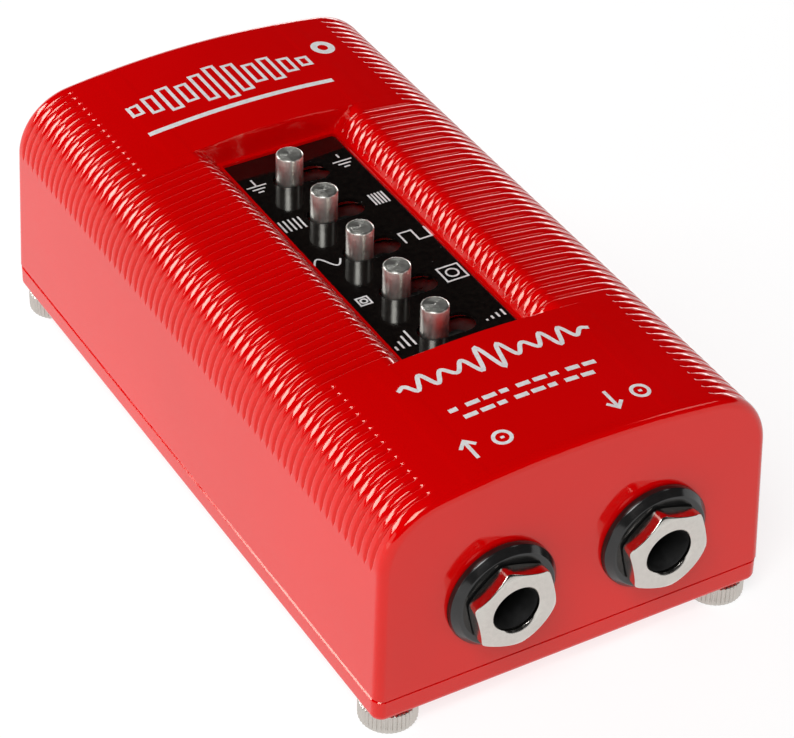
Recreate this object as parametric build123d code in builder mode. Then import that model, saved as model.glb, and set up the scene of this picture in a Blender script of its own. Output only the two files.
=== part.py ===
from build123d import *
import os
from math import radians, tan

# Direct injection box: a die-cast shell on a flat plate that four thumbscrews hold.
# +Z is up, +Y runs from the jacks to the balanced output, the origin is under the middle
# of the whole object, on the surface that it stands on. Millimetres.

# Case
case_width = 58.0
case_length = 107.0
shell_height = 30.35
crown_drop = 2.9
shoulder_radius = 9.5
side_draft = 1.8
end_draft = 1.75
case_corner_radius = 1.3
wall = 2.5
wall_gap = 0.75
wall_cut = 3.0
end_search = 1.2
hole_spare = 0.3
fit_clearance = 0.1
plate_thickness = 3.6
plate_edge_radius = 1.1
plate_corner_radius = 1.6
lip_height = 0.8
lip_width = 1.6
lip_gap = 0.3

# Thumbscrews, which are the feet
foot_height = 3.0
foot_radius = 3.9
knurl_count = 36
knurl_depth = 0.18
knurl_offset = 0.12
screw_x = 25.0
screw_y = 49.5
shank_radius = 1.45
screw_play = 0.05
boss_radius = 3.7
boss_height = 13.0
counterbore_radius = 2.9
counterbore_depth = 6.6
retainer_radius = 2.7
retainer_thickness = 0.8
retainer_drop = 0.1
neck_radius = 1.1
neck_play = 0.2
retainer_slot = 1.5
thread_length = 5.3

# Control window and slide switches
window_half_width = 9.3
window_half_length = 26.9
window_slope = 1.1
window_end_slope = 0.14
window_flare = 4.6
window_end_flare = 2.2
ledge_drop = 3.6
overlay_half_width = 8.8
overlay_half_length = 26.2
overlay_drop = 3.95
overlay_thickness = 0.5
overlay_gap = 0.05
floor_thickness = 1.7
switch_count = 5
switch_pitch = 9.88
switch_y = -0.25
switch_travel = 3.7
slot_length = 8.4
slot_width = 4.2
post_radius = 1.9
post_proud = 0.3
stem_radius = 1.1
stem_depth = 3.0
can_length = 12.0
can_width = 7.4
can_height = 4.6
can_wall = 0.4
can_base = 0.8
can_gap = 0.2
can_slot_play = 1.0
can_slot_side_play = 0.3
switch_lead_x = 3.7
switch_lead_y = 2.5
switch_lead_proud = 0.3
slider_length = 5.6
slider_play = 0.4
slider_lift = 1.0
stem_clearance = 0.01
post_lift = 0.15
post_chamfer = 0.25

# Circuit board
board_thickness = 1.6
board_half_width = 24.0
board_front = -45.0
board_rear = 29.0
tongue_rear = 46.0
tongue_left = 6.0
pillar_radius = 2.6
pillar_x = 20.5
pillar_y = 20.5
board_screw_radius = 1.2
board_screw_head_radius = 2.2
board_screw_head = 1.4
board_screw_length = 4.0
lead_hole_radius = 0.55
lead_radius = 0.3
socket_lead_radius = 0.4
lead_proud = 0.8
board_gap = 0.05
cross_length = 2.4
cross_width = 0.5
cross_depth = 0.7
chip_x = 12.0
chip_width = 6.4
chip_length = 9.4
chip_height = 3.2
chip_standoff = 0.5
chip_leg_row = 7.0
chip_leg_pitch = 2.54
chip_leg_width = 0.6
chip_leg_thickness = 0.5
chip_leg_height = 2.0
capacitor_radius = 2.5
capacitor_height = 6.2
capacitor_rounding = 0.3
film_pitch = 10.0
film_length = 7.2
film_width = 2.5
film_height = 6.0
film_rounding = 0.4

# Quarter-inch jacks
jack_x = 11.3
jack_height = 11.2
jack_bore_radius = 3.3
sleeve_radius = 4.45
jack_hole_radius = 4.6
ring_radius = 7.7
ring_thickness = 1.4
ring_seat = 0.45
ring_bevel = 0.8
ring_bevel_height = 1.05
nut_across_flats = 11.0
nut_thickness = 2.4
nut_lip = 0.8
nut_gap = 0.1
nut_turn = 12
nut_corner_reach = 0.75
nut_taper = 14
thread_clearance = 0.02
jack_block_width = 15.6
jack_block_height = 12.8
jack_block_length = 25.0
jack_bore_length = 3.0
jack_chamber_radius = 3.8
jack_chamber_length = 23.0
jack_block_corner = 0.8
spring_room_x = 4.3
spring_room_width = 3.0
spring_room_length = 11.0
spring_room_height = 5.4
leg_room_width = 1.2
leg_room_length = 2.0
contact_leg_x = 5.2
contact_leg_back = 1.2
contact_leg_width = 0.8
contact_inset = 0.4
contact_thickness = 0.4
contact_height = 3.0
contact_length = 10.2
contact_bend_front = 7.0
contact_bend_rear = 3.2
contact_nose_x = 2.6
contact_nose_front = 5.2
contact_nose_rear = 4.6

# Balanced output and power inlet on the rear wall
xlr_x = -8.0
xlr_height = 13.0
xlr_tube_radius = 9.4
xlr_cavity_radius = 8.1
xlr_cavity_depth = 15.5
xlr_flange_width = 24.0
xlr_flange_height = 19.0
xlr_flange_thickness = 2.0
xlr_body_length = 18.0
xlr_foot_length = 7.0
xlr_pin_radius = 1.2
xlr_pin_circle = 3.96
xlr_pin_length = 12.5
xlr_screw_x = 10.4
xlr_screw_z = 7.6
xlr_screw_radius = 1.2
xlr_screw_inset = 0.9
screw_slot_length = 2.0
screw_slot_width = 0.4
screw_slot_depth = 0.45
xlr_pin_x = 3.43
xlr_pin_z = 1.98
xlr_pin_tail = 1.0
xlr_pin_rounding = 0.9
xlr_lead_pitch = 4.0
xlr_foot_width = 15.0
xlr_foot_drop = 8.0
nose_margin = 0.1
dc_x = 16.0
dc_height = 11.0
dc_nose_radius = 3.9
dc_bore_radius = 2.8
dc_pin_radius = 1.05
dc_bore_depth = 9.5
dc_block_width = 9.0
dc_block_length = 13.0
dc_block_drop = 5.0
dc_pin_length = 8.5
dc_pin_rounding = 0.4
dc_lead_x = 2.5
dc_lead_inset = 8.0

# Battery
battery_length = 46.0
battery_width = 26.0
battery_height = 17.0
battery_left = -25.2
battery_gap = 0.3
battery_rounding = 2.0
terminal_y = 6.35
small_terminal_radius = 2.8
large_terminal_radius = 3.6
terminal_height = 1.6
snap_thickness = 1.4
snap_width = 24.0
snap_height = 11.0
snap_rounding = 3.0
battery_lead_y = 2.5
battery_lead_radius = 0.55

# Heights and places that follow from the sizes above
seam = foot_height + plate_thickness
apex = seam + shell_height
nut_proud = ring_thickness + nut_gap + nut_thickness
case_y = nut_proud / 2
front_y = case_y - case_length / 2
rear_y = case_y + case_length / 2
ledge_z = apex - ledge_drop
overlay_top = apex - overlay_drop
overlay_floor = overlay_top - overlay_thickness
floor_underside = overlay_floor - floor_thickness
can_top = floor_underside - can_gap
board_top = can_top - can_height
board_underside = board_top - board_thickness
slider_foot = board_top + slider_lift
socket_face = rear_y - wall_gap + nose_margin
dc_lead_y = rear_y - wall - dc_lead_inset
chip_y = case_y - 36.0
film_y = case_y - 42.0
capacitor_places = [(11.0, case_y + 34.0), (17.5, case_y + 35.0)]
jack_z = seam + jack_height
xlr_z = seam + xlr_height
dc_z = seam + dc_height
boss_places = [(x, case_y + y) for x in (-screw_x, screw_x) for y in (-screw_y, screw_y)]
pillar_places = [(x, case_y + y) for x in (-pillar_x, pillar_x) for y in (-pillar_y, pillar_y)]
switch_places = [case_y + switch_y + switch_pitch * (2 - i) for i in range(switch_count)]
corner_names = ["front_left", "rear_left", "front_right", "rear_right"]
jack_places = {"input": -jack_x, "thru": jack_x}
xlr_pins_at = [
    (xlr_x - xlr_pin_x, xlr_z + xlr_pin_z),
    (xlr_x + xlr_pin_x, xlr_z + xlr_pin_z),
    (xlr_x, xlr_z - xlr_pin_circle),
]
switch_leads = [
    (x, y) for x in (-switch_lead_x, 0, switch_lead_x) for y in (-switch_lead_y, switch_lead_y)
]


def facing(x, y, z):
    """A plane on the jack end or behind it: its normal points out of the jacks, along -Y."""
    return Plane(origin=(x, y, z), x_dir=(1, 0, 0), z_dir=(0, -1, 0))


def facing_rear(x, y, z):
    """A plane whose normal points out of the rear wall, along +Y."""
    return Plane(origin=(x, y, z), x_dir=(-1, 0, 0), z_dir=(0, 1, 0))


def keep(piece, name):
    piece.part.label = name
    export_step(piece.part, f"parts/{name}.step")


def d_block(inset, radius):
    """The drafted D-section of the shell, taken in by inset all round but for its open bottom."""
    half = case_width / 2 - inset
    crown = shell_height - inset
    corner_z = crown - crown_drop
    corner_x = half - corner_z * tan(radians(side_draft))
    half_length = case_length / 2 - inset
    top_half_length = half_length - crown * tan(radians(end_draft))
    with BuildPart() as block:
        with BuildSketch(facing(0, case_y, seam)) as section:
            with BuildLine():
                Polyline((-corner_x, corner_z), (-half, 0), (half, 0), (corner_x, corner_z))
                ThreePointArc((-corner_x, corner_z), (0, crown), (corner_x, corner_z))
            make_face()
            fillet(section.vertices().group_by(Axis.Y)[-1], radius)
        extrude(amount=case_length, both=True)
        with BuildSketch(Plane(origin=(0, case_y, seam), x_dir=(0, 1, 0), z_dir=(1, 0, 0))):
            with BuildLine():
                Polyline(
                    (-half_length, 0),
                    (half_length, 0),
                    (top_half_length, crown),
                    (-top_half_length, crown),
                    close=True,
                )
            make_face()
        extrude(amount=case_width, both=True, mode=Mode.INTERSECT)
    return block


def make_cavity():
    """The room inside the shell, around its bosses, its pillars and the control window."""
    room = d_block(wall, shoulder_radius - wall)
    window_block_top = shell_height
    with BuildPart() as cavity:
        add(room.part)
        with Locations((0, case_y, floor_underside)):
            Box(
                2 * (window_half_width + window_flare),
                2 * (window_half_length + window_end_flare),
                window_block_top,
                align=(Align.CENTER, Align.CENTER, Align.MIN),
                mode=Mode.SUBTRACT,
            )
        with Locations(*[(x, y, seam) for x, y in boss_places]):
            Cylinder(
                boss_radius,
                boss_height,
                align=(Align.CENTER, Align.CENTER, Align.MIN),
                mode=Mode.SUBTRACT,
            )
        with Locations(*[(x, y, board_top) for x, y in pillar_places]):
            Cylinder(
                pillar_radius,
                shell_height,
                align=(Align.CENTER, Align.CENTER, Align.MIN),
                mode=Mode.SUBTRACT,
            )
    return cavity


def make_housing():
    outside = d_block(0, shoulder_radius)
    cavity = make_cavity()
    rise = shell_height
    with BuildPart() as housing:
        add(outside.part)
        half = case_length / 2
        ends = housing.edges().filter_by(lambda e: abs(abs(e.center().Y - case_y) - half) < end_search)
        fillet([e for e in ends if e.center().Z > seam + fit_clearance], case_corner_radius)
        add(cavity.part, mode=Mode.SUBTRACT)
        # The recessed control window, wider at the top
        with BuildSketch(Plane.XY.offset(ledge_z)):
            with Locations((0, case_y)):
                Rectangle(2 * window_half_width, 2 * window_half_length)
        with BuildSketch(Plane.XY.offset(ledge_z + rise)):
            with Locations((0, case_y)):
                Rectangle(
                    2 * (window_half_width + window_slope * rise),
                    2 * (window_half_length + window_end_slope * rise),
                )
        loft(mode=Mode.SUBTRACT)
        # The shallow seat of the black panel, and the slots through the floor
        with BuildSketch(Plane.XY.offset(overlay_floor)):
            with Locations((0, case_y)):
                Rectangle(2 * (overlay_half_width + overlay_gap), 2 * (overlay_half_length + overlay_gap))
        extrude(amount=ledge_drop, mode=Mode.SUBTRACT)
        with BuildSketch(Plane.XY.offset(floor_underside)):
            with Locations(*[(0, y) for y in switch_places]):
                SlotOverall(slot_length, slot_width)
        extrude(amount=ledge_drop, mode=Mode.SUBTRACT)
        # Thread and counterbore in each boss
        with Locations(*[(x, y, seam) for x, y in boss_places]):
            Cylinder(
                counterbore_radius,
                counterbore_depth,
                align=(Align.CENTER, Align.CENTER, Align.MIN),
                mode=Mode.SUBTRACT,
            )
            Cylinder(
                shank_radius + screw_play,
                counterbore_depth + thread_length + hole_spare,
                align=(Align.CENTER, Align.CENTER, Align.MIN),
                mode=Mode.SUBTRACT,
            )
        # Blind screw holes in the pillars
        with Locations(*[(x, y, board_top) for x, y in pillar_places]):
            Cylinder(
                board_screw_radius,
                board_screw_length - board_thickness + hole_spare,
                align=(Align.CENTER, Align.CENTER, Align.MIN),
                mode=Mode.SUBTRACT,
            )
        # Holes in the end walls
        with BuildSketch(facing(0, front_y - 1, jack_z)):
            with Locations((-jack_x, 0), (jack_x, 0)):
                Circle(jack_hole_radius)
        extrude(amount=-(wall + wall_cut), mode=Mode.SUBTRACT)
        # Flat seats for the ring washers, because the wall leans in
        with BuildSketch(facing(0, front_y + ring_seat, jack_z)):
            with Locations((-jack_x, 0), (jack_x, 0)):
                Circle(ring_radius + fit_clearance)
        extrude(amount=ring_seat + 1, mode=Mode.SUBTRACT)
        with BuildSketch(facing_rear(0, rear_y + 1, 0)):
            with Locations((-xlr_x, xlr_z)):
                Circle(xlr_tube_radius + fit_clearance)
                with Locations((-xlr_screw_x, xlr_screw_z), (xlr_screw_x, -xlr_screw_z)):
                    Circle(xlr_screw_radius + fit_clearance)
            with Locations((-dc_x, dc_z)):
                Circle(dc_nose_radius + fit_clearance)
        extrude(amount=-(wall + wall_cut), mode=Mode.SUBTRACT)
    return housing


def make_bottom_plate():
    half_x = case_width / 2 - wall - lip_gap
    half_y = case_length / 2 - wall - lip_gap
    with BuildPart() as plate:
        with BuildSketch(Plane.XY.offset(foot_height)):
            with Locations((0, case_y)):
                RectangleRounded(case_width, case_length, plate_corner_radius)
        extrude(amount=plate_thickness)
        fillet(plate.faces().sort_by(Axis.Z)[0].edges(), plate_edge_radius)
        # Low ribs on the inside that centre the plate in the shell
        with BuildSketch(Plane.XY.offset(seam)):
            for side in (-1, 1):
                with Locations((side * (half_x - lip_width / 2), case_y)):
                    Rectangle(lip_width, 2 * (screw_y - boss_radius - 2))
                    Rectangle(lip_width, battery_width + 2, mode=Mode.SUBTRACT)
                with Locations((0, case_y + side * (half_y - lip_width / 2))):
                    Rectangle(2 * (screw_x - boss_radius - 2), lip_width)
        extrude(amount=lip_height)
        with Locations(*[(x, y, foot_height) for x, y in boss_places]):
            Cylinder(
                shank_radius + fit_clearance,
                plate_thickness,
                align=(Align.CENTER, Align.CENTER, Align.MIN),
                mode=Mode.SUBTRACT,
            )
    return plate


def make_overlay():
    with BuildPart() as overlay:
        with BuildSketch(Plane.XY.offset(overlay_floor)):
            with Locations((0, case_y)):
                Rectangle(2 * overlay_half_width, 2 * overlay_half_length)
            with Locations(*[(0, y) for y in switch_places]):
                SlotOverall(slot_length, slot_width, mode=Mode.SUBTRACT)
        extrude(amount=overlay_thickness)
    return overlay


def make_thumbscrew(x, y):
    """Knurled head, plain shank with a neck for the retainer, and the threaded end."""
    retainer_top = seam + counterbore_depth - retainer_drop
    neck_bottom = retainer_top - retainer_thickness - 0.1
    shank_top = seam + counterbore_depth + thread_length
    with BuildPart() as screw:
        with BuildSketch(Plane.XY):
            with Locations((x, y)):
                Circle(foot_radius)
                with PolarLocations(foot_radius + knurl_offset, knurl_count):
                    Circle(knurl_depth + knurl_offset, mode=Mode.SUBTRACT)
        extrude(amount=foot_height)
        with BuildSketch(Plane.XY.offset(foot_height)):
            with Locations((x, y)):
                Circle(shank_radius)
        extrude(amount=neck_bottom - foot_height)
        with BuildSketch(Plane.XY.offset(neck_bottom)):
            with Locations((x, y)):
                Circle(neck_radius)
        extrude(amount=retainer_thickness + neck_play)
        with BuildSketch(Plane.XY.offset(neck_bottom + retainer_thickness + neck_play)):
            with Locations((x, y)):
                Circle(shank_radius)
        extrude(amount=shank_top - neck_bottom - retainer_thickness - neck_play)
    return screw


def make_retainer(x, y):
    """Open spring clip in the neck of a thumbscrew."""
    top = seam + counterbore_depth - retainer_drop
    with BuildPart() as clip:
        with BuildSketch(Plane.XY.offset(top - retainer_thickness)):
            with Locations((x, y)):
                Circle(retainer_radius)
                Circle(neck_radius + screw_play, mode=Mode.SUBTRACT)
            with Locations((x, y - retainer_radius)):
                Rectangle(retainer_slot, 2 * retainer_radius, mode=Mode.SUBTRACT)
        extrude(amount=retainer_thickness)
    return clip


def make_switch_frame(y):
    """Metal can with a slot on top, closed below by an insulating base with six leads."""
    with BuildPart() as frame:
        with Locations((0, y, board_top)):
            Box(can_length, can_width, can_height, align=(Align.CENTER, Align.CENTER, Align.MIN))
        with Locations((0, y, board_top + can_base)):
            Box(
                can_length - 2 * can_wall,
                can_width - 2 * can_wall,
                can_height - can_base - can_wall,
                align=(Align.CENTER, Align.CENTER, Align.MIN),
                mode=Mode.SUBTRACT,
            )
        with BuildSketch(Plane.XY.offset(can_top - can_wall)):
            with Locations((0, y)):
                SlotOverall(
                    switch_travel + 2 * stem_radius + can_slot_play,
                    2 * (stem_radius + can_slot_side_play),
                )
        extrude(amount=can_wall, mode=Mode.SUBTRACT)
        with BuildSketch(Plane.XY.offset(board_top)):
            with Locations((0, y)):
                with Locations(*switch_leads):
                    Circle(lead_radius)
        extrude(amount=-(board_thickness + switch_lead_proud))
    return frame


def make_switch_slider(y):
    """Plastic block that rides in the can, with the stem that carries the post."""
    x = -switch_travel / 2
    block_height = can_height - can_base - can_wall - slider_play
    with BuildPart() as slider:
        with Locations((x, y, slider_foot)):
            Box(
                slider_length,
                can_width - 2 * can_wall - slider_play,
                block_height,
                align=(Align.CENTER, Align.CENTER, Align.MIN),
            )
        with BuildSketch(Plane.XY.offset(slider_foot + block_height)):
            with Locations((x, y)):
                Circle(stem_radius)
        extrude(amount=can_top + post_lift + stem_depth - slider_foot - block_height)
    return slider


def make_switch_post(y):
    """Turned metal post with a chamfered rim, pressed on the slider's stem."""
    x = -switch_travel / 2
    bottom = can_top + post_lift
    with BuildPart() as post:
        with BuildSketch(Plane.XY.offset(bottom)):
            with Locations((x, y)):
                Circle(post_radius)
        extrude(amount=apex + post_proud - bottom)
        chamfer(post.faces().sort_by(Axis.Z)[-1].edges(), post_chamfer)
        with Locations((x, y, bottom)):
            Cylinder(
                stem_radius + stem_clearance,
                stem_depth + fit_clearance,
                align=(Align.CENTER, Align.CENTER, Align.MIN),
                mode=Mode.SUBTRACT,
            )
    return post


def make_jack_body(x):
    """Moulded socket: block behind the wall and threaded sleeve through it."""
    inner_wall = front_y + wall + wall_gap
    sleeve_front = front_y - nut_proud + nut_lip
    with BuildPart() as body:
        with BuildSketch(facing(x, inner_wall, jack_z)):
            RectangleRounded(jack_block_width, jack_block_height, jack_block_corner)
        extrude(amount=-jack_block_length)
        with BuildSketch(facing(x, inner_wall, jack_z)):
            Circle(sleeve_radius)
        extrude(amount=inner_wall - sleeve_front)
        with BuildSketch(facing(x, sleeve_front, jack_z)):
            Circle(jack_bore_radius)
        extrude(amount=-(inner_wall - sleeve_front + jack_bore_length), mode=Mode.SUBTRACT)
        with BuildSketch(facing(x, inner_wall + jack_bore_length, jack_z)):
            Circle(jack_chamber_radius)
        extrude(amount=jack_bore_length - jack_chamber_length, mode=Mode.SUBTRACT)
        # Room for the contact spring beside the bore, and for its leg up to the board
        chamber_back = inner_wall + jack_chamber_length
        with Locations((x + spring_room_x, chamber_back - spring_room_length / 2, jack_z)):
            Box(spring_room_width, spring_room_length, spring_room_height, mode=Mode.SUBTRACT)
        with Locations((x + contact_leg_x, chamber_back - contact_leg_back, jack_z)):
            Box(
                leg_room_width,
                leg_room_length,
                jack_block_height,
                align=(Align.CENTER, Align.CENTER, Align.MIN),
                mode=Mode.SUBTRACT,
            )
    return body


def make_jack_contacts(x):
    """Flat contact spring with a bent nose, and its leg up to the board."""
    back = front_y + wall + wall_gap + jack_chamber_length - contact_inset
    outer = contact_leg_x + contact_thickness / 2
    inner = contact_leg_x - contact_thickness / 2
    with BuildPart() as contacts:
        with BuildSketch(Plane(origin=(x, back, jack_z - contact_height / 2))):
            with BuildLine():
                Polyline(
                    (outer, 0),
                    (outer, -contact_length),
                    (inner, -contact_length),
                    (inner, -contact_bend_front),
                    (contact_nose_x, -contact_nose_front),
                    (contact_nose_x, -contact_nose_rear),
                    (inner, -contact_bend_rear),
                    (inner, 0),
                    close=True,
                )
            make_face()
        extrude(amount=contact_height)
        with Locations((x + contact_leg_x, back + contact_inset - contact_leg_back, jack_z)):
            Box(
                contact_thickness,
                contact_leg_width,
                board_top + lead_proud - jack_z,
                align=(Align.CENTER, Align.CENTER, Align.MIN),
            )
    return contacts


def make_jack_ring(x):
    with BuildPart() as ring:
        with BuildSketch(facing(x, front_y + ring_seat, jack_z)):
            Circle(ring_radius)
            Circle(sleeve_radius + fit_clearance, mode=Mode.SUBTRACT)
        extrude(amount=ring_seat + ring_thickness)
        rim = ring.faces().sort_by(Axis.Y)[0].edges().sort_by(SortBy.LENGTH)[-1]
        chamfer(rim, length=ring_bevel, length2=ring_bevel_height)
    return ring


def make_jack_nut(x):
    """Hexagonal nut with a front lip that closes over the end of the sleeve."""
    back = front_y - ring_thickness - nut_gap
    with BuildPart() as nut:
        with BuildSketch(facing(x, back, jack_z)):
            RegularPolygon(nut_across_flats / 2, 6, major_radius=False, rotation=nut_turn)
        extrude(amount=nut_thickness)
        with BuildSketch(facing(x, back, jack_z)):
            Circle(nut_across_flats / 2 + nut_corner_reach)
        extrude(amount=nut_thickness, taper=nut_taper, mode=Mode.INTERSECT)
        with BuildSketch(facing(x, back, jack_z)):
            Circle(jack_bore_radius)
        extrude(amount=nut_thickness, mode=Mode.SUBTRACT)
        with BuildSketch(facing(x, back, jack_z)):
            Circle(sleeve_radius + thread_clearance)
        extrude(amount=nut_thickness - nut_lip, mode=Mode.SUBTRACT)
    return nut


def make_board():
    """Circuit board with a tongue for the power inlet and a hole for every lead."""
    contact_y = front_y + wall + wall_gap + jack_chamber_length - contact_leg_back
    foot_y = rear_y - wall - wall_gap - xlr_body_length - xlr_foot_length / 2
    with BuildPart() as board:
        with BuildSketch(Plane.XY.offset(board_underside)):
            with BuildLine():
                Polyline(
                    (-board_half_width, case_y + board_front),
                    (board_half_width, case_y + board_front),
                    (board_half_width, case_y + tongue_rear),
                    (tongue_left, case_y + tongue_rear),
                    (tongue_left, case_y + board_rear),
                    (-board_half_width, case_y + board_rear),
                    close=True,
                )
            make_face()
            with Locations(*pillar_places):
                Circle(board_screw_radius + fit_clearance, mode=Mode.SUBTRACT)
            with Locations(*[(x + contact_leg_x, contact_y) for x in jack_places.values()]):
                Circle(lead_hole_radius, mode=Mode.SUBTRACT)
            with Locations(*[(x, y + dy) for y in switch_places for x, dy in switch_leads]):
                Circle(lead_hole_radius, mode=Mode.SUBTRACT)
            with Locations(*[(xlr_x + dx, foot_y) for dx in (-xlr_lead_pitch, 0, xlr_lead_pitch)]):
                Circle(lead_hole_radius + fit_clearance, mode=Mode.SUBTRACT)
            with Locations(*[(dc_x + dx, dc_lead_y) for dx in (-dc_lead_x, dc_lead_x)]):
                Circle(lead_hole_radius + fit_clearance, mode=Mode.SUBTRACT)
        extrude(amount=board_thickness)
    return board


def make_board_screws():
    with BuildPart() as screws:
        for x, y in pillar_places:
            with Locations((x, y, board_underside)):
                Cylinder(
                    board_screw_head_radius,
                    board_screw_head,
                    align=(Align.CENTER, Align.CENTER, Align.MAX),
                )
                Cylinder(
                    board_screw_radius,
                    board_screw_length,
                    align=(Align.CENTER, Align.CENTER, Align.MIN),
                )
        cross_z = board_underside - board_screw_head
        with Locations(*[(x, y, cross_z) for x, y in pillar_places]):
            Box(cross_length, cross_width, 2 * cross_depth, mode=Mode.SUBTRACT)
            Box(cross_width, cross_length, 2 * cross_depth, mode=Mode.SUBTRACT)
    return screws


def make_op_amp_chips():
    """Two eight-lead chips on the front of the board."""
    with BuildPart() as chips:
        for x in (-chip_x, chip_x):
            with Locations((x, chip_y, board_top + chip_standoff)):
                Box(chip_width, chip_length, chip_height, align=(Align.CENTER, Align.CENTER, Align.MIN))
            with Locations((x, chip_y, board_top)):
                with GridLocations(chip_leg_row, chip_leg_pitch, 2, 4):
                    Box(
                        chip_leg_width,
                        chip_leg_thickness,
                        chip_leg_height,
                        align=(Align.CENTER, Align.CENTER, Align.MIN),
                    )
    return chips


def make_electrolytic_capacitors():
    """Two upright cans between the pillars and the rear of the board."""
    with BuildPart() as cans:
        with Locations(*[(x, y, board_top) for x, y in capacitor_places]):
            Cylinder(capacitor_radius, capacitor_height, align=(Align.CENTER, Align.CENTER, Align.MIN))
        fillet(cans.edges().group_by(Axis.Z)[-1], capacitor_rounding)
    return cans


def make_film_capacitors():
    """Three box-shaped capacitors in a row across the front of the board."""
    with BuildPart() as boxes:
        with Locations(*[(k * film_pitch, film_y, board_top) for k in (-1, 0, 1)]):
            Box(film_length, film_width, film_height, align=(Align.CENTER, Align.CENTER, Align.MIN))
        fillet(boxes.edges().filter_by(Axis.Z), film_rounding)
    return boxes


def make_xlr_body():
    """Panel socket for a balanced lead: tube through the wall, flange, body and foot."""
    inner_wall = rear_y - wall - wall_gap
    with BuildPart() as body:
        with BuildSketch(facing_rear(xlr_x, inner_wall, xlr_z)):
            Circle(xlr_tube_radius)
        extrude(amount=wall + nose_margin)
        with BuildSketch(facing_rear(xlr_x, inner_wall, xlr_z)):
            Rectangle(xlr_flange_width, xlr_flange_height)
            with Locations((-xlr_screw_x, xlr_screw_z), (xlr_screw_x, -xlr_screw_z)):
                Circle(xlr_screw_radius + screw_play, mode=Mode.SUBTRACT)
        extrude(amount=-xlr_flange_thickness)
        with BuildSketch(facing_rear(xlr_x, inner_wall, xlr_z)):
            Circle(xlr_tube_radius)
        extrude(amount=-xlr_body_length)
        with BuildSketch(facing_rear(xlr_x, socket_face, xlr_z)):
            Circle(xlr_cavity_radius)
        extrude(amount=-xlr_cavity_depth, mode=Mode.SUBTRACT)
        with Locations((xlr_x, inner_wall - xlr_body_length, xlr_z - xlr_foot_drop)):
            Box(
                xlr_foot_width,
                xlr_foot_length,
                board_underside - xlr_z + xlr_foot_drop - board_gap,
                align=(Align.CENTER, Align.MAX, Align.MIN),
            )
        with BuildSketch(facing_rear(0, inner_wall - xlr_body_length - xlr_pin_tail, 0)):
            with Locations(*[(-x, z) for x, z in xlr_pins_at]):
                Circle(xlr_pin_radius)
        extrude(amount=xlr_body_length, mode=Mode.SUBTRACT)
    return body


def make_xlr_pins():
    """Three contact pins, and the three leads from the foot up through the board."""
    inner_wall = rear_y - wall - wall_gap
    cavity_floor = socket_face - xlr_cavity_depth
    pin_back = inner_wall - xlr_body_length - xlr_pin_tail
    foot_y = inner_wall - xlr_body_length - xlr_foot_length / 2
    with BuildPart() as pins:
        with BuildSketch(facing_rear(0, pin_back, 0)):
            with Locations(*[(-x, z) for x, z in xlr_pins_at]):
                Circle(xlr_pin_radius)
        extrude(amount=cavity_floor + xlr_pin_length - pin_back)
        fillet(pins.faces().sort_by(Axis.Y)[-3:].edges(), xlr_pin_rounding)
        with BuildSketch(Plane.XY.offset(board_underside - board_gap)):
            with Locations(*[(xlr_x + dx, foot_y) for dx in (-xlr_lead_pitch, 0, xlr_lead_pitch)]):
                Circle(socket_lead_radius)
        extrude(amount=board_thickness + lead_proud)
    return pins


def make_xlr_screws():
    """Two machine screws from outside, with slotted heads that sit flush in the wall."""
    places = [(xlr_x + xlr_screw_x, xlr_z + xlr_screw_z), (xlr_x - xlr_screw_x, xlr_z - xlr_screw_z)]
    with BuildPart() as screws:
        with BuildSketch(facing_rear(0, rear_y - xlr_screw_inset, 0)):
            with Locations(*[(-x, z) for x, z in places]):
                Circle(xlr_screw_radius)
        extrude(amount=-(wall + xlr_flange_thickness))
        with Locations(*[(x, rear_y - xlr_screw_inset, z) for x, z in places]):
            Box(screw_slot_length, 2 * screw_slot_depth, screw_slot_width, mode=Mode.SUBTRACT)
    return screws


def make_dc_body():
    """Power inlet: a block under the board with a round nose through the wall."""
    inner_wall = rear_y - wall - wall_gap
    with BuildPart() as body:
        with Locations((dc_x, inner_wall, dc_z - dc_block_drop)):
            Box(
                dc_block_width,
                dc_block_length,
                board_underside - dc_z + dc_block_drop - board_gap,
                align=(Align.CENTER, Align.MAX, Align.MIN),
            )
        with BuildSketch(facing_rear(dc_x, inner_wall, dc_z)):
            Circle(dc_nose_radius)
        extrude(amount=wall + nose_margin)
        with BuildSketch(facing_rear(dc_x, socket_face, dc_z)):
            Circle(dc_bore_radius)
        extrude(amount=-dc_bore_depth, mode=Mode.SUBTRACT)
    return body


def make_dc_pin():
    """Centre pin of the power inlet, and its two leads up through the board."""
    floor = socket_face - dc_bore_depth
    with BuildPart() as pin:
        with BuildSketch(facing_rear(dc_x, floor, dc_z)):
            Circle(dc_pin_radius)
        extrude(amount=dc_pin_length)
        fillet(pin.faces().sort_by(Axis.Y)[-1].edges(), dc_pin_rounding)
        with BuildSketch(Plane.XY.offset(board_underside - board_gap)):
            with Locations(*[(dc_x + dx, dc_lead_y) for dx in (-dc_lead_x, dc_lead_x)]):
                Circle(socket_lead_radius)
        extrude(amount=board_thickness + lead_proud)
    return pin


def make_battery():
    """Nine-volt block battery lying across the case, its two terminals to the right."""
    right = battery_left + battery_length
    bottom = seam + battery_gap
    middle = bottom + battery_height / 2
    with BuildPart() as battery:
        with Locations((battery_left, case_y, bottom)):
            Box(
                battery_length,
                battery_width,
                battery_height,
                align=(Align.MIN, Align.CENTER, Align.MIN),
            )
        fillet(battery.edges().filter_by(Axis.X), battery_rounding)
        with BuildSketch(Plane(origin=(right, case_y, middle), x_dir=(0, 1, 0), z_dir=(1, 0, 0))):
            with Locations((-terminal_y, 0)):
                Circle(small_terminal_radius)
            with Locations((terminal_y, 0)):
                RegularPolygon(large_terminal_radius, 6)
        extrude(amount=terminal_height)
    return battery


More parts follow.
